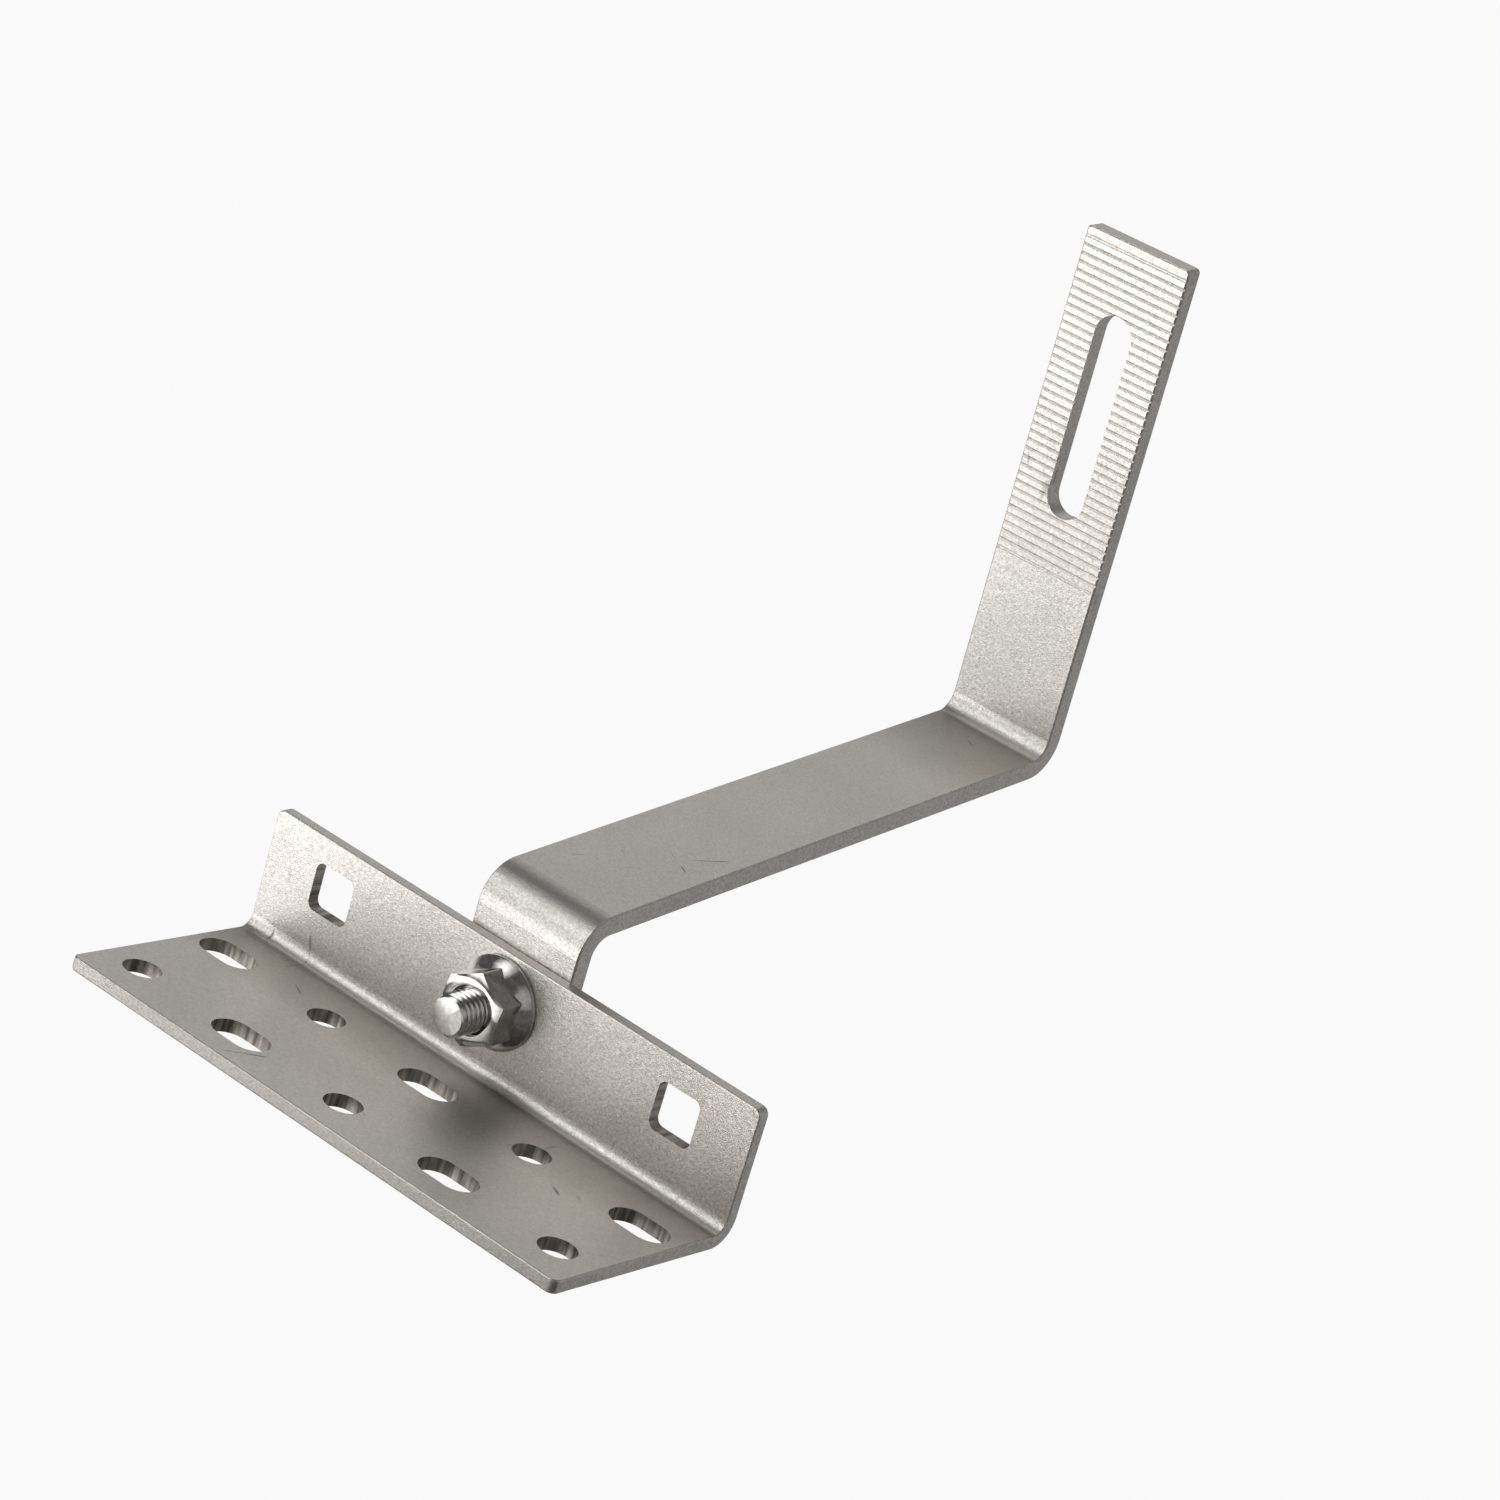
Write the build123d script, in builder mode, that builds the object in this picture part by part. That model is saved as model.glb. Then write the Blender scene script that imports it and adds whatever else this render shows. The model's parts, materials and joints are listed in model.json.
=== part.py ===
"""Solar roof hook for a tiled roof: a bent base plate, a bent arm with a serrated rail plate,
and the carriage bolt and flange nut that clamp the two together.

Frame: origin at the centre of the base's underside, midway between the two hole rows.
+X runs along the base plate, +Y up the roof from the base towards the arm, +Z away from the rafter.
"""
import os
from math import cos, sin, sqrt, radians

from build123d import *

# ---- base plate ----
plate_length = 145.0
plate_t = 3.2
front_margin = 12.2        # front edge to the front hole row
row_spacing = 27.5
corner_to_row = 17.0       # back hole row to the sharp inner corner of the bend
flange_angle = 93.5        # from +Y
flange_height = 30.0       # up the flange's front face from the sharp inner corner
plate_bend_r = 3.0
plate_corner_r = 2.0
plate_edge_r = 0.4

# ---- base holes ----
hole_columns = 5
end_margin = 10.0          # plate's end to the outer column
hole_d = 9.0
slot_width = 9.5
slot_length = 15.0

# ---- square holes of the flange ----
square_size = 11.7
square_corner_r = 2.0
square_up = 18.0
square_margin = 20.5       # plate's end to the outer square hole's middle

# ---- arm ----
arm_width = 30.0
arm_t = 5.0
arm_bend_r = 4.5
arm_angle = 8.3            # from +Y
rail_angle = 96.3          # from +Y
leg_length = 38.0          # sharp outer corner down to the leg's end
leg_rise = 43.9            # sharp outer corner above the base's top, along the flange's back
arm_length = 169.3         # between the sharp corners, along the top surface
rail_height = 127.7        # sharp inner corner up to the tip
arm_corner_r = 1.2
arm_edge = 0.4             # broken edge all round the bar

# ---- rail slot ----
rail_slot_width = 10.5
rail_slot_length = 52.2
rail_slot_margin = 17.7    # tip to the slot's upper end

# ---- serration of the rail plate ----
groove_count = 36
groove_pitch = 2.19
groove_first = 4.8         # tip to the first full groove
groove_width = 0.9
groove_depth = 0.38
border_gap = 0.6           # between the two fine lines of a border
border_width = 0.34
border_depth = 0.15

# ---- carriage bolt ----
bolt_d = 10.0
bolt_stick_out = 16.8      # past the flange's front face
bolt_end_chamfer = 0.85
neck_size = 10.0
neck_length = 6.0
neck_corner_r = 0.6
neck_clearance = 0.25
head_d = 24.0
head_height = 5.0
head_rim = 1.0

# ---- flange nut ----
nut_across_flats = 16.0
nut_height = 10.0
nut_flange_d = 21.8
nut_rim = 1.3
nut_cone_height = 4.0
nut_turn = 88.0            # a corner's direction about the bolt
nut_chamfer_d = 14.6       # round of the front face
nut_chamfer_drop = 1.2
nut_foot_chamfer = 0.4
thread_clearance = 0.05

os.makedirs("parts", exist_ok=True)


def heading(angle):
    """Unit step in the YZ plane at an angle from +Y."""
    return (cos(radians(angle)), sin(radians(angle)))


def step(point, angle, distance):
    """A point moved along a heading in the YZ plane."""
    way = heading(angle)
    return (point[0] + way[0] * distance, point[1] + way[1] * distance)


def meet(point_a, angle_a, point_b, angle_b):
    """Where two lines in the YZ plane cross."""
    ay, az = heading(angle_a)
    by, bz = heading(angle_b)
    dy, dz = point_b[0] - point_a[0], point_b[1] - point_a[1]
    run = (dy * bz - dz * by) / (ay * bz - az * by)
    return (point_a[0] + ay * run, point_a[1] + az * run)


def face_plane(point, angle):
    """Plane on a face that rises at an angle, x along +X, normal towards the front."""
    way = heading(angle)
    return Plane(origin=(0, point[0], point[1]), x_dir=(1, 0, 0), z_dir=(0, -way[1], way[0]))


def round_corner(sketch, point, radius):
    """Round the sketch corner that lies at a point."""
    fillet(sketch.vertices().sort_by_distance((point[0], point[1], 0))[0], radius)


# spacing that follows the plate's length
hole_pitch = (plate_length - 2 * end_margin) / (hole_columns - 1)
square_offset = plate_length / 2 - square_margin

# key points of the base plate, as (y, z)
front_y = -row_spacing / 2 - front_margin
inner_corner = (row_spacing / 2 + corner_to_row, plate_t)
outer_corner = meet((0, 0), 0, step(inner_corner, flange_angle - 90, plate_t), flange_angle)
flange_top = step(inner_corner, flange_angle, flange_height)
flange_top_back = step(flange_top, flange_angle - 90, plate_t)
flange_plane = face_plane(inner_corner, flange_angle)
through = plate_t + arm_t + 4

# key points of the arm, as (y, z): p on the front and upper side, q on the back and under side
leg_root = step(inner_corner, flange_angle - 90, plate_t)
p1 = step(leg_root, flange_angle, leg_rise)
p0 = step(p1, flange_angle, -leg_length)
p2 = step(p1, arm_angle, arm_length)
p3 = step(p2, rail_angle, rail_height)
q0 = step(p0, flange_angle - 90, arm_t)
q3 = step(p3, rail_angle - 90, arm_t)
under = step(p1, arm_angle - 90, arm_t)
q1 = meet(q0, flange_angle, under, arm_angle)
q2 = meet(under, arm_angle, q3, rail_angle)
rail_plane = face_plane(p3, rail_angle)

# ---- base plate ----
with BuildPart() as base_plate:
    with BuildSketch(Plane.YZ) as plate_profile:
        with BuildLine():
            Polyline(
                (front_y, 0), outer_corner, flange_top_back, flange_top, inner_corner,
                (front_y, plate_t), close=True,
            )
        make_face()
        round_corner(plate_profile, inner_corner, plate_bend_r)
        round_corner(plate_profile, outer_corner, plate_bend_r + plate_t)
    extrude(amount=plate_length / 2, both=True)
    fillet(base_plate.edges().filter_by(Axis.Z), plate_corner_r)
    top_corners = base_plate.edges().filter_by(Axis((0, 0, 0), flange_plane.z_dir))
    fillet(top_corners.group_by(Axis.Z)[-1], plate_corner_r)
    fillet(base_plate.edges().filter_by(Axis.X).group_by(Axis.Y)[0], plate_edge_r)
    # alternate round holes and slots, shifted by one column between the rows
    for row in range(2):
        for column in range(hole_columns):
            x = (column - (hole_columns - 1) / 2) * hole_pitch
            y = (row - 0.5) * row_spacing
            with BuildSketch(Plane.XY.offset(-1)):
                with Locations((x, y)):
                    if (row + column) % 2:
                        SlotOverall(slot_length, slot_width)
                    else:
                        Circle(hole_d / 2)
            extrude(amount=plate_t + 2, mode=Mode.SUBTRACT)
    with BuildSketch(flange_plane.offset(1)):
        with Locations((-square_offset, square_up), (0, square_up), (square_offset, square_up)):
            RectangleRounded(square_size, square_size, square_corner_r)
    extrude(amount=-through, mode=Mode.SUBTRACT)
base_plate.part.label = "base_plate"
export_step(base_plate.part, "parts/base_plate.step")

# ---- arm ----
with BuildPart() as hook_arm:
    with BuildSketch(Plane.YZ) as arm_profile:
        with BuildLine():
            Polyline(p0, p1, p2, p3, q3, q2, q1, q0, close=True)
        make_face()
        round_corner(arm_profile, p1, arm_bend_r + arm_t)
        round_corner(arm_profile, q1, arm_bend_r)
        round_corner(arm_profile, p2, arm_bend_r)
        round_corner(arm_profile, q2, arm_bend_r + arm_t)
    extrude(amount=arm_width / 2, both=True)
    ends = hook_arm.faces().sort_by_distance((0, (p3[0] + q3[0]) / 2, (p3[1] + q3[1]) / 2))[0:1]
    ends += hook_arm.faces().sort_by_distance((0, (p0[0] + q0[0]) / 2, (p0[1] + q0[1]) / 2))[0:1]
    for end in ends:
        fillet(end.edges().filter_by(Axis.X, reverse=True), arm_corner_r)
    tip_edges = hook_arm.faces().sort_by(Axis.Z)[-1].edges().filter_by(Axis.X)
    chamfer(tip_edges, arm_edge)
    # rail slot
    slot_down = rail_slot_margin + rail_slot_length / 2
    with BuildSketch(rail_plane.offset(1)):
        with Locations((0, -slot_down)):
            SlotOverall(rail_slot_length, rail_slot_width, rotation=90)
    extrude(amount=-(arm_t + 2), mode=Mode.SUBTRACT)
    # square hole that holds the bolt's neck
    with BuildSketch(flange_plane.offset(1)):
        with Locations((0, square_up)):
            neck_hole = neck_size + 2 * neck_clearance
            RectangleRounded(neck_hole, neck_hole, neck_corner_r + neck_clearance)
    extrude(amount=-through, mode=Mode.SUBTRACT)
    # serration: full grooves, and a pair of fine lines as a border at each end
    last_down = groove_first + (groove_count - 1) * groove_pitch
    lines = [(groove_first + i * groove_pitch, groove_width, groove_depth) for i in range(groove_count)]
    for middle in (groove_first - groove_pitch, last_down + groove_pitch):
        lines += [(middle + side * border_gap / 2, border_width, border_depth) for side in (-1, 1)]
    with BuildSketch(Plane.YZ):
        for down, width, depth in lines:
            middle = step(p3, rail_angle, -down)
            mouth = step(middle, rail_angle + 90, depth)
            with BuildLine():
                Polyline(
                    step(middle, rail_angle + 90, -depth), step(mouth, rail_angle, width),
                    step(mouth, rail_angle, -width), close=True,
                )
            make_face()
    extrude(amount=arm_width, both=True, mode=Mode.SUBTRACT)
hook_arm.part.label = "hook_arm"
export_step(hook_arm.part, "parts/hook_arm.step")

# ---- carriage bolt ----
bolt_foot = step(inner_corner, flange_angle, square_up)
bolt_plane = face_plane(bolt_foot, flange_angle)
bolt_axis = Axis(bolt_plane.origin, bolt_plane.z_dir)
bolt_section = Plane(origin=bolt_plane.origin, x_dir=(1, 0, 0), z_dir=-bolt_plane.y_dir)
under_head = -(plate_t + arm_t)
dome_rise = head_height - head_rim
dome_r = ((head_d / 2) ** 2 + dome_rise**2) / (2 * dome_rise)
dome_centre = under_head - head_height + dome_r
with BuildPart() as carriage_bolt:
    with BuildSketch(bolt_section):
        with BuildLine():
            Line((0, bolt_stick_out), (bolt_d / 2 - bolt_end_chamfer, bolt_stick_out))
            Line((bolt_d / 2 - bolt_end_chamfer, bolt_stick_out), (bolt_d / 2, bolt_stick_out - bolt_end_chamfer))
            Line((bolt_d / 2, bolt_stick_out - bolt_end_chamfer), (bolt_d / 2, under_head))
            Line((bolt_d / 2, under_head), (head_d / 2, under_head))
            Line((head_d / 2, under_head), (head_d / 2, under_head - head_rim))
            dome_mid = (head_d / 4, dome_centre - sqrt(dome_r**2 - (head_d / 4) ** 2))
            ThreePointArc((head_d / 2, under_head - head_rim), dome_mid, (0, under_head - head_height))
            Line((0, under_head - head_height), (0, bolt_stick_out))
        make_face()
    revolve(axis=bolt_axis)
    with BuildSketch(bolt_plane.offset(under_head)):
        RectangleRounded(neck_size, neck_size, neck_corner_r)
    extrude(amount=neck_length)
carriage_bolt.part.label = "carriage_bolt"
export_step(carriage_bolt.part, "parts/carriage_bolt.step")

# ---- flange nut ----
nut_corner_r = nut_across_flats / 2 / cos(radians(30))
with BuildPart() as flange_nut:
    with BuildSketch(bolt_plane):
        RegularPolygon(nut_across_flats / 2, 6, major_radius=False, rotation=nut_turn)
    extrude(amount=nut_height)
    # front corners turned down to a round face
    with BuildSketch(bolt_section):
        with BuildLine():
            Polyline(
                (0, 0), (nut_corner_r + 1, 0), (nut_corner_r + 1, nut_height - nut_chamfer_drop),
                (nut_corner_r, nut_height - nut_chamfer_drop), (nut_chamfer_d / 2, nut_height),
                (0, nut_height), close=True,
            )
        make_face()
    revolve(axis=bolt_axis, mode=Mode.INTERSECT)
    # bearing flange
    with BuildSketch(bolt_section):
        with BuildLine():
            Polyline(
                (0, 0), (nut_flange_d / 2 - nut_foot_chamfer, 0), (nut_flange_d / 2, nut_foot_chamfer),
                (nut_flange_d / 2, nut_rim), (nut_across_flats / 2, nut_cone_height),
                (0, nut_cone_height), close=True,
            )
        make_face()
    revolve(axis=bolt_axis)
    with BuildSketch(bolt_plane.offset(-1)):
        Circle(bolt_d / 2 + thread_clearance)
    extrude(amount=nut_height + 2, mode=Mode.SUBTRACT)
flange_nut.part.label = "flange_nut"
export_step(flange_nut.part, "parts/flange_nut.step")

for piece in (base_plate, hook_arm, carriage_bolt, flange_nut):
    box = piece.part.bounding_box()
    print(piece.part.label, round(piece.part.volume, 1), box.min, box.max)
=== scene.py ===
import json
from math import atan2, cos, pi, radians, sin, sqrt

import bpy
from mathutils import Matrix, Vector


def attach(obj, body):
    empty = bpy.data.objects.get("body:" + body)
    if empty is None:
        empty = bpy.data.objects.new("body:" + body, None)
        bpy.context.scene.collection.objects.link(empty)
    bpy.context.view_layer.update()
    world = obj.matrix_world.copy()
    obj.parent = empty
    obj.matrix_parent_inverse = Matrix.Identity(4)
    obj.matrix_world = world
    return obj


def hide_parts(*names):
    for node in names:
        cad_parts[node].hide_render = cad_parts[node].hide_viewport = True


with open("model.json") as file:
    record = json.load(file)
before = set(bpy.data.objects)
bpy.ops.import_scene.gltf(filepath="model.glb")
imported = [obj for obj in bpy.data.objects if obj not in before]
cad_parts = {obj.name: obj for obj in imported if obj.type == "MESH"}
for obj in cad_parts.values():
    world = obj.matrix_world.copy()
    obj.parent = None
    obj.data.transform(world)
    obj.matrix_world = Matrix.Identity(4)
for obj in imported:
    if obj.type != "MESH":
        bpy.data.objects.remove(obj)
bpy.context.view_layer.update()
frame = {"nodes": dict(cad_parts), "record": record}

mm = 0.001

# the bolt's foot on the flange's front face, and the way it points
flangeHole = next(m for m in frame["record"]["mounts"] if m["name"] == "square_hole_left")
boltFoot = Vector((0, flangeHole["pos_m"][1], flangeHole["pos_m"][2]))
boltAxis = Vector(flangeHole["axis"]).normalized()
boltSide = Vector((1, 0, 0))
boltTurn = Matrix((boltSide, boltAxis.cross(boltSide), boltAxis)).transposed().to_4x4()
boltPlace = Matrix.Translation(boltFoot) @ boltTurn

camera = {
    "place": (0.51189, -0.72019, 0.39862),
    "right": (0.7489, 0.5876, 0.3060),
    "up": (-0.4314, 0.0820, 0.8984),
    "sensor": 36,
    "lens": 107.893,
    "shift": (-0.01018, -0.0055),
    "clip": (0.01, 50),
}


def makeCamera():
    right = Vector(camera["right"]).normalized()
    back = right.cross(Vector(camera["up"])).normalized()
    turn = Matrix((right, back.cross(right), back)).transposed().to_4x4()
    bpy.ops.object.camera_add()
    eye = bpy.context.object
    eye.matrix_world = Matrix.Translation(camera["place"]) @ turn
    eye.data.sensor_width = camera["sensor"]
    eye.data.lens = camera["lens"]
    eye.data.shift_x, eye.data.shift_y = camera["shift"]
    eye.data.clip_start, eye.data.clip_end = camera["clip"]
    bpy.context.scene.camera = eye


makeCamera()
print("camera ready")


def newMaterial(name):
    material = bpy.data.materials.new(name)
    material.use_nodes = True
    material.node_tree.nodes.clear()
    return material


def feed(tree, node, key, value):
    # a socket is linked, a plain value is written
    if hasattr(value, "is_output"):
        tree.links.new(value, node.inputs[key])
    else:
        node.inputs[key].default_value = value


def addNode(tree, kind, inputs=None, **settings):
    node = tree.nodes.new(kind)
    for key, value in settings.items():
        setattr(node, key, value)
    for key, value in (inputs or {}).items():
        feed(tree, node, key, value)
    return node


def addMath(tree, operation, *values, clamp=False):
    inputs = dict(enumerate(values))
    return addNode(tree, "ShaderNodeMath", inputs, operation=operation, use_clamp=clamp).outputs[0]


def addProduct(tree, *values):
    total = values[0]
    for value in values[1:]:
        total = addMath(tree, "MULTIPLY", total, value)
    return total


def addVector(tree, operation, *values):
    # a dot product or a length comes as a number, the rest as a vector
    node = addNode(tree, "ShaderNodeVectorMath", dict(enumerate(values)), operation=operation)
    return node.outputs["Value" if operation in ("DOT_PRODUCT", "LENGTH") else "Vector"]


def addSides(tree, vector):
    return addNode(tree, "ShaderNodeSeparateXYZ", {0: vector}).outputs


def addMix(tree, factor, a, b):
    inputs = {0: factor, 6: a, 7: b}
    return addNode(tree, "ShaderNodeMix", inputs, data_type="RGBA").outputs[2]


def addRange(tree, value, fromLow, fromHigh, toLow=0.0, toHigh=1.0, ease="LINEAR"):
    inputs = {
        "Value": value,
        "From Min": fromLow, "From Max": fromHigh,
        "To Min": toLow, "To Max": toHigh,
    }
    return addNode(tree, "ShaderNodeMapRange", inputs, interpolation_type=ease).outputs["Result"]


def addNoise(tree, vector, scale, detail=2.0, roughness=0.5, distortion=0.0):
    inputs = {
        "Vector": vector, "Scale": scale, "Detail": detail,
        "Roughness": roughness, "Distortion": distortion,
    }
    return addNode(tree, "ShaderNodeTexNoise", inputs).outputs["Fac"]


def newGroup(name, inputs, outputs):
    group = bpy.data.node_groups.new(name, "ShaderNodeTree")
    for socket, kind in inputs.items():
        group.interface.new_socket(name=socket, in_out="INPUT", socket_type=kind)
    for socket in outputs:
        group.interface.new_socket(name=socket, in_out="OUTPUT", socket_type="NodeSocketFloat")
    given = group.nodes.new("NodeGroupInput").outputs
    made = group.nodes.new("NodeGroupOutput").inputs
    return group, given, made


def useGroup(tree, group, inputs):
    node = tree.nodes.new("ShaderNodeGroup")
    node.node_tree = group
    for key, value in inputs.items():
        feed(tree, node, key, value)
    return node.outputs


grain = {
    "fineDetail": (3.0, 0.65),       # detail and roughness of the noise
    "coarseDetail": (2.0, 0.5),
    "cloudDetail": (3.0, 0.55),
    "coarseScale": 0.42,
    "fineShare": 0.6,
    "coarseShare": 0.4,
    "speckleReach": (0.32, 0.68),
    "cloudReach": (0.3, 0.7),
    "dentReach": (0.1, 0.7),
    "dentHeight": 0.5,
    "coarseHeight": 0.8,
}


def makeGrain():
    # speckle and dents of a shot-blasted skin, and slow clouds over it
    group, given, made = newGroup(
        "blastGrain",
        {"Vector": "NodeSocketVector", "Scale": "NodeSocketFloat", "Clouds": "NodeSocketFloat"},
        ["Speckle", "Height", "Cloud"],
    )
    place, scale = given["Vector"], given["Scale"]
    fine = addNoise(group, place, scale, *grain["fineDetail"])
    coarse = addNoise(group, place, addProduct(group, scale, grain["coarseScale"]), *grain["coarseDetail"])
    cloud = addNoise(group, place, given["Clouds"], *grain["cloudDetail"])
    cell = addNode(group, "ShaderNodeTexVoronoi", {"Vector": place, "Scale": scale}, feature="F1")
    speckle = addMath(
        group, "ADD",
        addProduct(group, fine, grain["fineShare"]),
        addProduct(group, coarse, grain["coarseShare"]),
    )
    dents = addRange(group, cell.outputs["Distance"], *grain["dentReach"])
    height = addMath(
        group, "ADD",
        addProduct(group, dents, grain["dentHeight"]),
        addProduct(group, coarse, grain["coarseHeight"]),
    )
    group.links.new(addRange(group, speckle, *grain["speckleReach"]), made["Speckle"])
    group.links.new(height, made["Height"])
    group.links.new(addRange(group, cloud, *grain["cloudReach"]), made["Cloud"])
    return group


scuffs = {
    "ways": [(0.5, 7.0), (-0.9, 9.0), (1.9, 6.0)],    # turn and stretch of each set of scratches
    "twist": 0.3,            # from one set to the next
    "tilt": 0.2,
    "shift": (0.37, 0.11, 0.53),
    "lineDetail": (1.0, 0.4, 0.25),
    "lineReach": (0.73, 0.79),
    "patchScale": 0.33,
    "patchDetail": 1.0,
    "patchReach": (0.56, 0.66),
    "pitScale": 1.6,
    "pitReach": (0.075, 0.045),
    "pitRarity": (0.86, 0.9),
}


def makeScuffs():
    # sparse dark scratches and pits from handling
    group, given, made = newGroup(
        "handlingScuffs",
        {"Vector": "NodeSocketVector", "Scale": "NodeSocketFloat", "Amount": "NodeSocketFloat"},
        ["Mask"],
    )
    place, scale = given["Vector"], given["Scale"]
    shiftX, shiftY, shiftZ = scuffs["shift"]
    total = 0.0
    for index, (turn, stretch) in enumerate(scuffs["ways"]):
        inputs = {
            "Vector": place,
            "Rotation": (scuffs["twist"] * index, scuffs["tilt"], turn),
            "Location": (shiftX * index, shiftY, shiftZ),
        }
        turned = addNode(group, "ShaderNodeMapping", inputs).outputs["Vector"]
        narrow = addVector(group, "MULTIPLY", turned, (1.0, stretch, 1.0))
        line = addNoise(group, narrow, scale, *scuffs["lineDetail"])
        patchScale = addProduct(group, scale, scuffs["patchScale"])
        patch = addNoise(group, turned, patchScale, scuffs["patchDetail"])
        strong = addProduct(
            group,
            addRange(group, line, *scuffs["lineReach"]),
            addRange(group, patch, *scuffs["patchReach"]),
        )
        total = addMath(group, "MAXIMUM", total, strong)
    inputs = {"Vector": place, "Scale": addProduct(group, scale, scuffs["pitScale"])}
    pit = addNode(group, "ShaderNodeTexVoronoi", inputs).outputs
    pits = addRange(group, pit["Distance"], *scuffs["pitReach"])
    chance = addNode(group, "ShaderNodeSeparateColor", {0: pit["Color"]}).outputs[0]
    pits = addProduct(group, pits, addRange(group, chance, *scuffs["pitRarity"]))
    total = addMath(group, "MAXIMUM", total, pits)
    group.links.new(addMath(group, "MULTIPLY", total, given["Amount"], clamp=True), made["Mask"])
    return group


# where cut walls lie: middle and half size in metres, the sheet's normal, the streaks' stretch, strength
cutBoxes = {
    "baseOpenings": ((0, 0.0014, 0.0016), (0.071, 0.0262, 0.0022), (0, 0, 1), (1, 1, 0.12), 1.0),
    "flangeOpenings": ((0, 0.0315, 0.0200), (0.060, 0.0055, 0.0105), (0, 0.998, 0.061), (1, 0.12, 1), 1.0),
    "frontEdge": ((0, -0.0258, 0.0016), (0.075, 0.0010, 0.0022), (0, 0, 1), (1, 1, 0.12), 0.5),
}
cutWall = {
    "facingReach": (0.5, 0.3),
    "streakReach": (0.35, 0.65),
}


def makeCutWalls():
    # the dark cut walls of the openings, with streaks through the sheet
    group, given, made = newGroup(
        "cutWalls",
        {"Vector": "NodeSocketVector", "Normal": "NodeSocketVector", "Scale": "NodeSocketFloat"},
        ["Mask", "Streak"],
    )
    mask, streak = 0.0, 0.0
    for middle, half, normal, stretch, share in cutBoxes.values():
        off = addVector(group, "SUBTRACT", given["Vector"], middle)
        off = addVector(group, "ABSOLUTE", addVector(group, "DIVIDE", off, half))
        x, y, z = addSides(group, off)
        widest = addMath(group, "MAXIMUM", addMath(group, "MAXIMUM", x, y), z)
        inside = addMath(group, "LESS_THAN", widest, 1.0)
        facing = addMath(group, "ABSOLUTE", addVector(group, "DOT_PRODUCT", given["Normal"], normal))
        upright = addRange(group, facing, *cutWall["facingReach"])
        here = addProduct(group, inside, upright, share)
        along = addVector(group, "MULTIPLY", given["Vector"], stretch)
        line = addNoise(group, along, given["Scale"])
        mask = addMath(group, "MAXIMUM", mask, here)
        streak = addMath(group, "ADD", streak, addProduct(group, here, line))
    group.links.new(mask, made["Mask"])
    group.links.new(addRange(group, streak, *cutWall["streakReach"]), made["Streak"])
    return group


blastGrain = makeGrain()
handlingScuffs = makeScuffs()
cutWalls = makeCutWalls()

blastedSteel = {
    "dark": (0.27, 0.25, 0.23, 1),
    "light": (0.98, 0.945, 0.895, 1),
    "speckleShare": 0.82,
    "cloudShare": 0.18,
    "roughness": (0.44, 0.34),       # of the dark and of the light spots
    "grainScale": 3300.0,
    "cloudScale": 28.0,
    "grainDepth": 0.00008,
    "grainStrength": 0.6,
    "uprightReach": (0.8, 0.4),
    "spread": (0.28, 0.72),          # of the speckle, on level and on upright faces
    "levelReach": (0.93, 0.99),
    "paintedShade": (0.20, 0.18, 0.16, 1),  # painted shade: a deeper tone on level faces, towards the inner corners
    "paintedShadeAmount": 0.75,
    "basePaintedShade": (0.006, 0.027),     # along Y, below baseTop
    "baseTop": 0.01,
    "armPaintedShade": (0.160, 0.192),      # along Y, at the arm's height
    "armHeight": (0.075, 0.015),     # middle and half
    "scuff": (0.16, 0.15, 0.145, 1),
    "scuffScale": 85.0,
    "scuffAmount": 0.8,
    "wallDark": (0.17, 0.15, 0.13, 1),
    "wallLight": (0.52, 0.475, 0.43, 1),
    "wallRoughness": 0.11,           # more than the skin's
    "wallScale": 700.0,
}


# painted shade: darkens level faces beside the base's inner corner and at the arm's far end
def addPaintedCornerShade(tree, place, level):
    finish = blastedSteel
    sides = addSides(tree, place)
    inner = addProduct(
        tree,
        addRange(tree, sides["Y"], *finish["basePaintedShade"]),
        addMath(tree, "LESS_THAN", sides["Z"], finish["baseTop"]),
    )
    outer = addProduct(
        tree,
        addRange(tree, sides["Y"], *finish["armPaintedShade"]),
        addMath(tree, "COMPARE", sides["Z"], *finish["armHeight"]),
    )
    flat = addRange(tree, level, *finish["levelReach"])
    return addProduct(tree, addMath(tree, "ADD", inner, outer), flat, finish["paintedShadeAmount"])


def addSurface(material, skin, rough, bump):
    tree = material.node_tree
    inputs = {"Base Color": skin, "Metallic": 1.0, "Roughness": rough, "Normal": bump.outputs[0]}
    shader = addNode(tree, "ShaderNodeBsdfPrincipled", inputs)
    addNode(tree, "ShaderNodeOutputMaterial", {"Surface": shader.outputs[0]})


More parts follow.
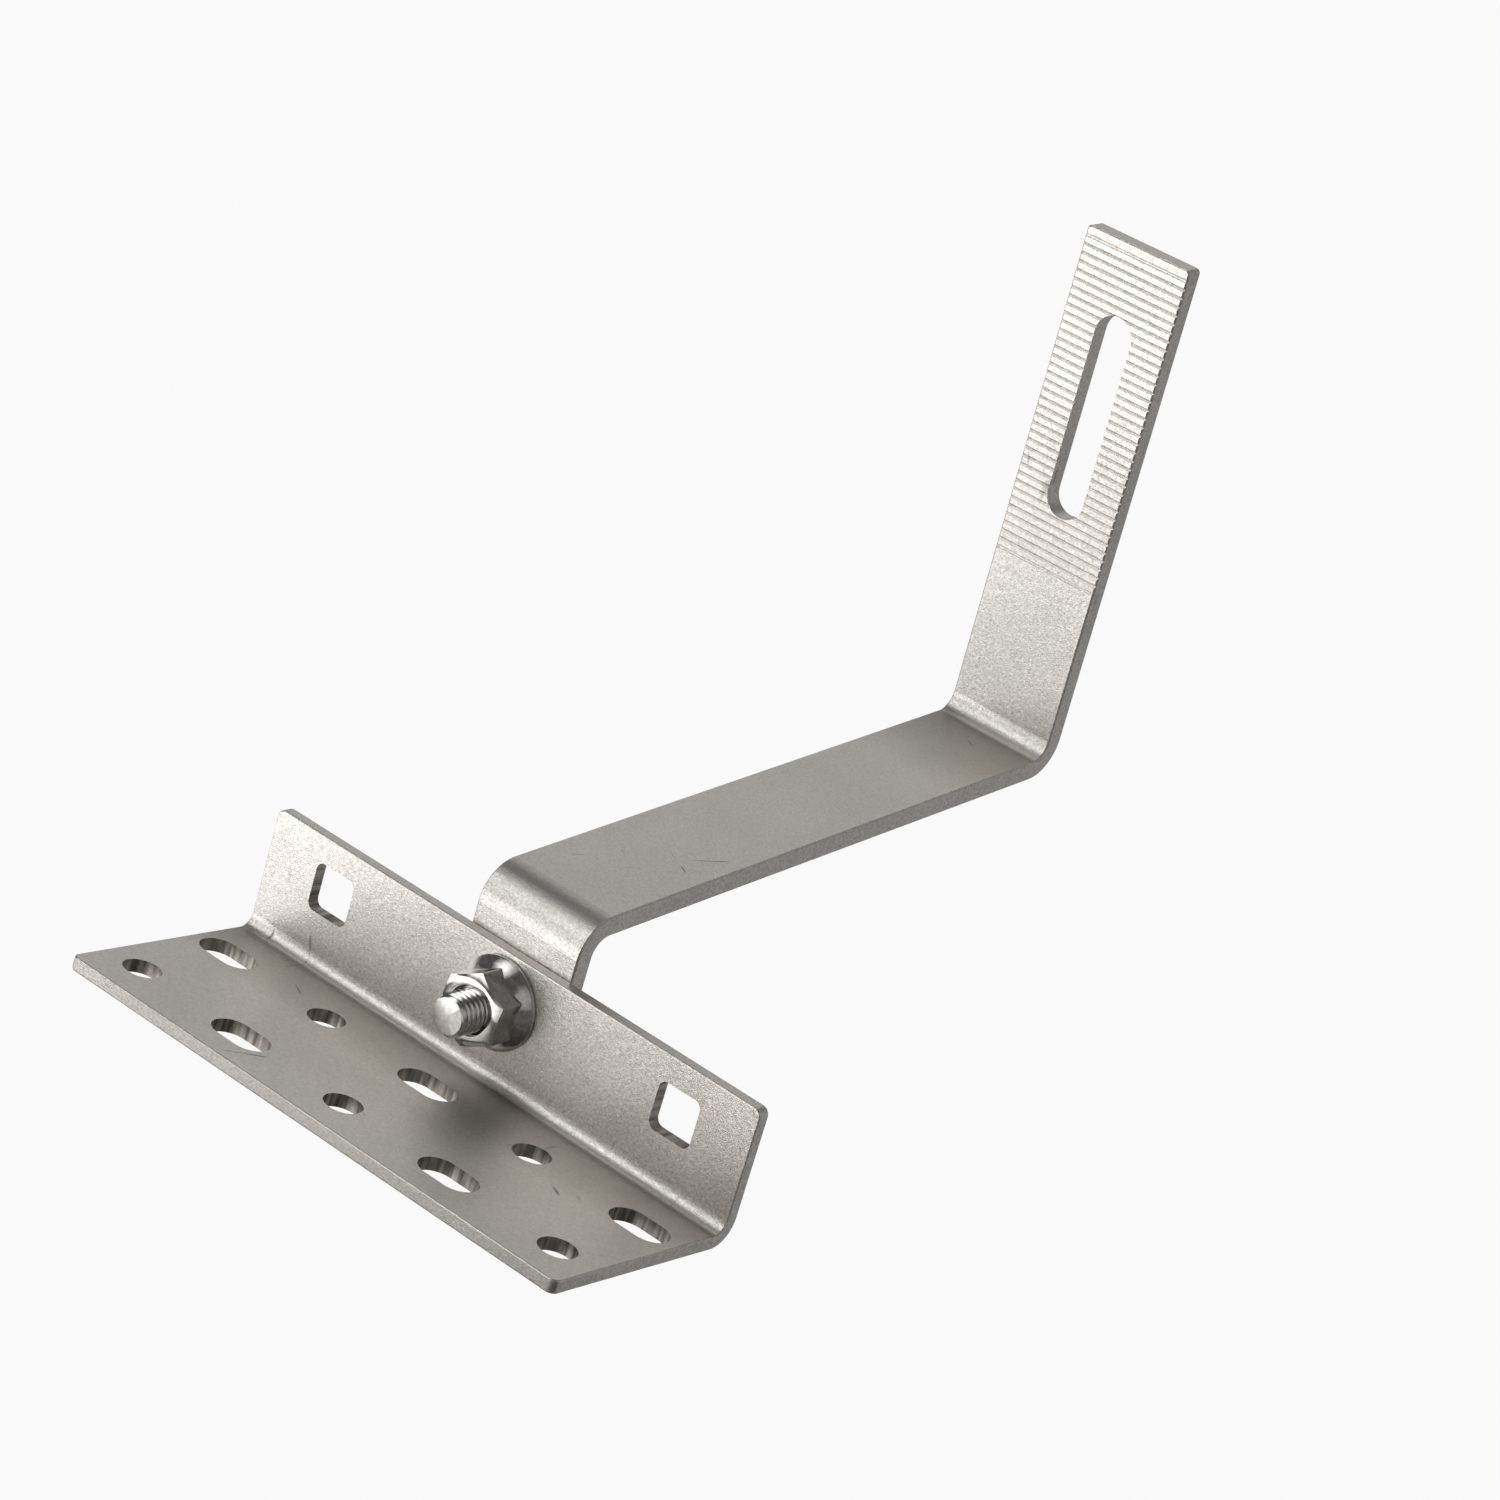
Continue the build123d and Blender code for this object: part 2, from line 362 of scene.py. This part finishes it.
def makeBlastedSteel():
    finish = blastedSteel
    material = newMaterial("blastedSteel")
    tree = material.node_tree
    where = addNode(tree, "ShaderNodeTexCoord").outputs
    place = where["Object"]
    inputs = {"Vector": place, "Scale": finish["grainScale"], "Clouds": finish["cloudScale"]}
    skinGrain = useGroup(tree, blastGrain, inputs)
    inputs = {"Vector": place, "Scale": finish["scuffScale"], "Amount": finish["scuffAmount"]}
    marks = useGroup(tree, handlingScuffs, inputs)
    inputs = {"Vector": place, "Normal": where["Normal"], "Scale": finish["wallScale"]}
    walls = useGroup(tree, cutWalls, inputs)

    tone = addMath(
        tree, "ADD",
        addProduct(tree, skinGrain["Speckle"], finish["speckleShare"]),
        addProduct(tree, skinGrain["Cloud"], finish["cloudShare"]),
    )
    level = addMath(tree, "ABSOLUTE", addSides(tree, where["Normal"])["Z"])
    spread = addRange(tree, level, *finish["uprightReach"], *finish["spread"])
    spotted = addProduct(tree, addMath(tree, "SUBTRACT", tone, 0.5), spread)
    spotted = addMath(tree, "ADD", spotted, 0.5)

    skin = addMix(tree, spotted, finish["dark"], finish["light"])
    # painted shade is mixed into the skin near the inner corners
    skin = addMix(tree, addPaintedCornerShade(tree, place, level), skin, finish["paintedShade"])
    skin = addMix(tree, marks["Mask"], skin, finish["scuff"])
    wall = addMix(tree, walls["Streak"], finish["wallDark"], finish["wallLight"])
    skin = addMix(tree, walls["Mask"], skin, wall)
    rough = addRange(tree, tone, 0.0, 1.0, *finish["roughness"])
    rough = addMath(tree, "ADD", rough, addProduct(tree, walls["Mask"], finish["wallRoughness"]))
    inputs = {
        "Height": skinGrain["Height"],
        "Strength": finish["grainStrength"],
        "Distance": finish["grainDepth"],
    }
    addSurface(material, skin, rough, addNode(tree, "ShaderNodeBump", inputs))
    return material


polishedSteel = {
    "dark": (0.50, 0.485, 0.475, 1),
    "light": (0.70, 0.685, 0.675, 1),
    "roughness": (0.09, 0.18),
    "smearScale": 1020.0,
    "smearDetail": (3.0, 0.6),
    "smearReach": (0.3, 0.7),
    "waveScale": 170.0,
    "waveDepth": 0.00003,
    "waveStrength": 0.5,
    "endRoughness": 0.36,            # the bolt's cut end
    "endFrom": 0.01672,
}


def makePolishedSteel():
    finish = polishedSteel
    material = newMaterial("polishedSteel")
    tree = material.node_tree
    place = addNode(tree, "ShaderNodeTexCoord").outputs["Object"]
    wave = addNoise(tree, place, finish["waveScale"])
    smear = addNoise(tree, place, finish["smearScale"], *finish["smearDetail"])
    skin = addMix(tree, addRange(tree, smear, *finish["smearReach"]), finish["dark"], finish["light"])
    rough = addRange(tree, smear, *finish["smearReach"], *finish["roughness"])
    out = addVector(tree, "SUBTRACT", place, boltFoot)
    out = addVector(tree, "DOT_PRODUCT", out, boltAxis)
    cutEnd = addMath(tree, "GREATER_THAN", out, finish["endFrom"])
    rough = addMath(tree, "MAXIMUM", rough, addProduct(tree, cutEnd, finish["endRoughness"]))
    inputs = {"Height": wave, "Strength": finish["waveStrength"], "Distance": finish["waveDepth"]}
    addSurface(material, skin, rough, addNode(tree, "ShaderNodeBump", inputs))
    return material


plateFinish = makeBlastedSteel()
nutFinish = makePolishedSteel()
for nodeName in ("base_plate", "hook_arm"):
    for slot in frame["nodes"][nodeName].material_slots:
        slot.material = plateFinish
print("finishes ready")


# the fasteners are modelled in millimetres about Z, then seated on the bolt's axis
def clearSelection():
    if bpy.context.object and bpy.context.object.mode != "OBJECT":
        bpy.ops.object.mode_set(mode="OBJECT")
    bpy.ops.object.select_all(action="DESELECT")


def pick(piece):
    clearSelection()
    piece.select_set(True)
    bpy.context.view_layer.objects.active = piece


def drawProfile(name, points):
    # one vertex, pushed on from point to point
    clearSelection()
    bpy.ops.mesh.primitive_plane_add(size=1)
    piece = bpy.context.object
    piece.name = name
    bpy.ops.object.mode_set(mode="EDIT")
    bpy.ops.mesh.select_all(action="SELECT")
    bpy.ops.mesh.merge(type="CENTER")
    bpy.ops.transform.translate(value=(points[0][0], 0, points[0][1]))
    for before, after in zip(points, points[1:]):
        move = (after[0] - before[0], 0, after[1] - before[1])
        bpy.ops.mesh.extrude_region_move(TRANSFORM_OT_translate={"value": move})
    bpy.ops.mesh.select_all(action="SELECT")
    return piece


def turnProfile(name, points, steps=96):
    piece = drawProfile(name, points)
    bpy.ops.mesh.spin(steps=steps, angle=2 * pi, center=(0, 0, 0), axis=(0, 0, 1))
    bpy.ops.mesh.select_all(action="SELECT")
    bpy.ops.mesh.remove_doubles(threshold=0.0005)
    bpy.ops.mesh.normals_make_consistent(inside=False)
    bpy.ops.object.mode_set(mode="OBJECT")
    return piece


def combine(piece, other, operation):
    pick(piece)
    modifier = piece.modifiers.new(operation.lower(), "BOOLEAN")
    modifier.operation = operation
    modifier.solver = "EXACT"
    modifier.object = other
    bpy.ops.object.modifier_apply(modifier=modifier.name)
    bpy.data.objects.remove(other)


def softenEdges(piece, width, angle=28, segments=2):
    pick(piece)
    modifier = piece.modifiers.new("edges", "BEVEL")
    modifier.width = width
    modifier.segments = segments
    modifier.limit_method = "ANGLE"
    modifier.angle_limit = radians(angle)
    modifier.miter_outer = "MITER_ARC"
    bpy.ops.object.modifier_apply(modifier=modifier.name)


def cleanMesh(piece, threshold=0.004):
    pick(piece)
    bpy.ops.object.mode_set(mode="EDIT")
    bpy.ops.mesh.select_all(action="SELECT")
    bpy.ops.mesh.remove_doubles(threshold=threshold)
    bpy.ops.mesh.dissolve_degenerate(threshold=threshold)
    bpy.ops.mesh.normals_make_consistent(inside=False)
    bpy.ops.object.mode_set(mode="OBJECT")


def seatOnBolt(piece, node, finish):
    # into metres and onto the bolt's axis, with its place in its mesh
    cleanMesh(piece)
    piece.matrix_world = boltPlace @ Matrix.Scale(mm, 4)
    bpy.ops.object.transform_apply(location=True, rotation=True, scale=True)
    bpy.ops.object.shade_smooth_by_angle(angle=radians(32))
    piece.data.materials.clear()
    piece.data.materials.append(finish)
    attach(piece, "root")
    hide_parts(node)


nut = {
    "acrossFlats": 16.0,
    "height": 10.0,
    "turn": 88.0,            # a corner's direction about the bolt
    "sideEdge": 0.22,
    "faceRadius": 7.3,       # flat ring on the front
    "cornerDrop": 1.2,
    "skirt": [
        (0, 0), (10.45, 0), (10.8, 0.35), (10.85, 0.95), (10.6, 1.3),
        (9.4, 2.35), (8.3, 3.5), (7.7, 4.6), (0, 4.6),
    ],
    "bore": 5.08,
    "sinkRadius": 5.75,
    "sinkDepth": 0.7,
    "edge": 0.14,
}


def makeHexagon(radius, height, turn):
    bpy.ops.mesh.primitive_cylinder_add(vertices=6, radius=radius, depth=height, location=(0, 0, height / 2))
    piece = bpy.context.object
    bpy.ops.object.transform_apply(location=True)
    corner = piece.data.vertices[0].co
    piece.matrix_world = Matrix.Rotation(turn - atan2(corner.y, corner.x), 4, "Z")
    bpy.ops.object.transform_apply(rotation=True)
    return piece


def makeNut():
    top, face = nut["height"], nut["faceRadius"]
    corner = nut["acrossFlats"] / 2 / cos(radians(30))
    piece = makeHexagon(corner, top, radians(nut["turn"]))
    piece.name = "flangeNutBody"
    softenEdges(piece, nut["sideEdge"], angle=45, segments=3)
    # the cone that chamfers the front corners
    wide = face + (corner - face) / nut["cornerDrop"] * top
    combine(piece, turnProfile("cone", [(0, -0.01), (wide, -0.01), (face, top), (0, top)]), "INTERSECT")
    combine(piece, turnProfile("skirt", nut["skirt"]), "UNION")
    bore = [
        (0, -1), (nut["bore"], -1), (nut["bore"], top - nut["sinkDepth"]),
        (nut["sinkRadius"], top), (nut["sinkRadius"], top + 1), (0, top + 1),
    ]
    combine(piece, turnProfile("bore", bore), "DIFFERENCE")
    softenEdges(piece, nut["edge"])
    seatOnBolt(piece, "flange_nut", nutFinish)


bolt = {
    "radius": 4.98,
    "rootRadius": 4.12,
    "pitch": 1.5,
    "turns": 9,
    "turnSteps": 64,
    "threadRound": 0.05,     # of the crest and the root
    "threadFrom": 7.8,
    "end": 16.8,
    "endRadius": 4.15,
    "endSlope": 0.95,
    "endLip": (0.12, 0.06),
    "coreRadius": 4.3,       # where the plain shank meets the thread
    "coreOverlap": 0.2,
    "runOut": 0.5,
    "grip": 8.2,             # head's underside to the flange's front face
    "neckSize": 10.0,
    "neckLength": 6.0,
    "neckSink": 0.2,
    "neckEdge": 0.6,
    "headRadius": 12.0,
    "headEdge": 0.25,
    "headRim": 1.0,
    "headRise": 4.0,
    "headSteps": 12,
}


def cutFlat(height, **cleared):
    bpy.ops.mesh.select_all(action="SELECT")
    bpy.ops.mesh.bisect(plane_co=(0, 0, height), plane_no=(0, 0, 1), use_fill=True, **cleared)


def makeThread():
    pitch, low, high, soft = bolt["pitch"], bolt["rootRadius"], bolt["radius"], bolt["threadRound"]
    # radius and share of the pitch, from the root's middle to the crest's
    rise = [(low, 0), (low, 0.10), (low + soft, 0.16), (high - soft, 0.40), (high, 0.45)]
    steps = rise + [(radius, 1 - along) for radius, along in reversed(rise)]
    start = bolt["threadFrom"] - 2 * pitch
    piece = drawProfile("thread", [(radius, start + along * pitch) for radius, along in steps])
    pick(piece)
    screw = piece.modifiers.new("screw", "SCREW")
    screw.axis = "Z"
    screw.angle = 2 * pi
    screw.screw_offset = pitch
    screw.iterations = bolt["turns"]
    screw.steps = screw.render_steps = bolt["turnSteps"]
    bpy.ops.object.modifier_apply(modifier=screw.name)
    bpy.ops.object.mode_set(mode="EDIT")
    bpy.ops.mesh.select_all(action="SELECT")
    bpy.ops.mesh.remove_doubles(threshold=0.002)
    cutFlat(bolt["end"], clear_outer=True)
    cutFlat(bolt["threadFrom"], clear_inner=True)
    bpy.ops.mesh.select_all(action="SELECT")
    bpy.ops.mesh.normals_make_consistent(inside=False)
    bpy.ops.object.mode_set(mode="OBJECT")
    return piece


def makeBlank():
    # what the thread's end is turned down to
    end, radius, tip = bolt["end"], bolt["radius"], bolt["endRadius"]
    lipOut, lipDown = bolt["endLip"]
    return turnProfile("blank", [
        (0, 0), (radius + 1, 0), (radius + 1, end - 1), (radius, end - 1),
        (radius, end - bolt["endSlope"]), (tip + lipOut, end - lipDown), (tip, end), (0, end),
    ])


def makeShankAndHead():
    radius, head, edge = bolt["radius"], bolt["headRadius"], bolt["headEdge"]
    under, join = -bolt["grip"], bolt["threadFrom"]
    profile = [
        (0, join + bolt["coreOverlap"]), (bolt["coreRadius"], join + bolt["coreOverlap"]),
        (radius, join - bolt["runOut"]), (radius, under),
        (head - edge, under), (head, under - edge), (head, under - bolt["headRim"]),
    ]
    dome = (head**2 + bolt["headRise"] ** 2) / (2 * bolt["headRise"])
    centre = under - bolt["headRim"] - bolt["headRise"] + dome
    for step in range(1, bolt["headSteps"] + 1):
        across = head * (1 - step / bolt["headSteps"])
        profile.append((across, centre - sqrt(dome**2 - across**2)))
    return turnProfile("shankAndHead", profile)


def makeNeck():
    size, length, sink = bolt["neckSize"], bolt["neckLength"], bolt["neckSink"]
    bpy.ops.mesh.primitive_cube_add(size=1, location=(0, 0, (length - sink) / 2 - bolt["grip"]))
    neck = bpy.context.object
    neck.scale = (size, size, length + sink)
    bpy.ops.object.transform_apply(location=True, scale=True)
    softenEdges(neck, bolt["neckEdge"], angle=60, segments=3)
    return neck


def makeBolt():
    piece = makeThread()
    piece.name = "carriageBoltBody"
    combine(piece, makeBlank(), "INTERSECT")
    combine(piece, makeShankAndHead(), "UNION")
    combine(piece, makeNeck(), "UNION")
    seatOnBolt(piece, "carriage_bolt", nutFinish)


makeNut()
print("flange nut ready")
makeBolt()
print("carriage bolt ready")

studio = {
    "floorDrop": 0.07,
    "floorSize": 12.0,
    "floorColor": (0.86, 0.86, 0.86, 1),
    "floorWhite": 0.93,
    "frontLeft": (-0.6, -0.8),
    "dimmest": 0.11,
    "brightest": 4.0,
    "fullShare": 0.2,        # of a light's reach, at its full level
    "white": (1, 1, 1, 1),
}
# soft lights of the room: degrees round from the front to the left, degrees up, reach in degrees, level
room = {
    "key": (35, 30, 28, 1.95),
    "aboveKey": (35, 54, 20, 0.6),
    "backWall": (145, 32, 34, 0.58),
    "rightWall": (-98, 12, 40, 0.35),
    "backRight": (-140, 20, 45, 0.25),
    "frontRight": (-35, 14, 30, 0.35),
}
# what metal sees of the floor, by quarter: metres from the middle, level
ground = {
    "frontLeft": [(0.06, 0.25), (0.14, 0.40), (0.20, 2.3), (0.40, 2.9)],
    "backLeft": [(0.05, 0.3), (0.2, 0.4)],
    "backRight": [(0.05, 0.3), (0.2, 0.36)],
    "frontRight": [(0.05, 0.15), (0.2, 0.12)],
}


def addCurve(tree, value, points):
    # straight runs between the points, level beyond them
    reach = points[-1][0]
    node = addNode(tree, "ShaderNodeValToRGB", {0: addMath(tree, "DIVIDE", value, reach)})
    steps = node.color_ramp.elements
    steps[0].position = points[0][0] / reach
    for at, _ in points[1:-1]:
        steps.new(at / reach)
    for step, (_, level) in zip(steps, points):
        step.color = (level / studio["brightest"],) * 3 + (1,)
    return addProduct(tree, node.outputs["Color"], studio["brightest"])


def addGround(tree, place):
    # the four quarters' curves, blended by the place's direction
    away = addVector(tree, "LENGTH", place)
    flat = addVector(tree, "NORMALIZE", addVector(tree, "MULTIPLY", place, (1, 1, 0)))
    x, y = studio["frontLeft"]
    ways = {
        "frontLeft": (x, y, 0), "backRight": (-x, -y, 0),
        "backLeft": (y, -x, 0), "frontRight": (-y, x, 0),
    }
    total = 0.0
    for name, way in ways.items():
        facing = addMath(tree, "MAXIMUM", addVector(tree, "DOT_PRODUCT", flat, way), 0.0)
        share = addMath(tree, "POWER", facing, 2.0)
        total = addMath(tree, "ADD", total, addProduct(tree, share, addCurve(tree, away, ground[name])))
    return total


def addRoom(tree, direction):
    total = studio["dimmest"]
    for around, up, reach, level in room.values():
        around, up, reach = radians(around), radians(up), radians(reach)
        middle = (-cos(up) * sin(around), -cos(up) * cos(around), sin(up))
        near = addVector(tree, "DOT_PRODUCT", direction, middle)
        full = cos(reach * studio["fullShare"])
        spot = addRange(tree, near, cos(reach), full, 0.0, level, "SMOOTHSTEP")
        total = addMath(tree, "ADD", total, spot)
    return total


def addGlow(tree, kind, strength):
    return addNode(tree, kind, {"Color": studio["white"], "Strength": strength}).outputs[0]


def addShaderMix(tree, factor, a, b):
    return addNode(tree, "ShaderNodeMixShader", {0: factor, 1: a, 2: b}).outputs[0]


def makeFloor():
    # white to the camera, with the object's shadow; metal sees its own levels
    bpy.ops.mesh.primitive_plane_add(size=studio["floorSize"], location=(0, 0, -studio["floorDrop"]))
    floor = bpy.context.object
    floor.name = "floor"
    material = newMaterial("paleFloor")
    tree = material.node_tree
    rays = addNode(tree, "ShaderNodeLightPath").outputs
    place = addNode(tree, "ShaderNodeTexCoord").outputs["Object"]
    plain = addNode(tree, "ShaderNodeBsdfDiffuse", {"Color": studio["floorColor"]}).outputs[0]
    seen = addShaderMix(tree, studio["floorWhite"], plain, addGlow(tree, "ShaderNodeEmission", 1.0))
    glow = addGlow(tree, "ShaderNodeEmission", addGround(tree, place))
    mirrored = addMath(tree, "MAXIMUM", rays["Is Glossy Ray"], rays["Is Transmission Ray"])
    mixed = addShaderMix(tree, mirrored, plain, glow)
    mixed = addShaderMix(tree, rays["Is Camera Ray"], mixed, seen)
    addNode(tree, "ShaderNodeOutputMaterial", {"Surface": mixed})
    floor.data.materials.append(material)


def makeRoom():
    world = bpy.data.worlds.new("paleRoom")
    bpy.context.scene.world = world
    world.use_nodes = True
    tree = world.node_tree
    tree.nodes.clear()
    rays = addNode(tree, "ShaderNodeLightPath").outputs
    direction = addNode(tree, "ShaderNodeTexCoord").outputs["Generated"]
    lit = addGlow(tree, "ShaderNodeBackground", addRoom(tree, direction))
    white = addGlow(tree, "ShaderNodeBackground", 1.0)
    mixed = addShaderMix(tree, rays["Is Camera Ray"], lit, white)
    addNode(tree, "ShaderNodeOutputWorld", {"Surface": mixed})


makeFloor()
makeRoom()
bpy.context.scene.view_settings.view_transform = "Standard"
print("studio ready")
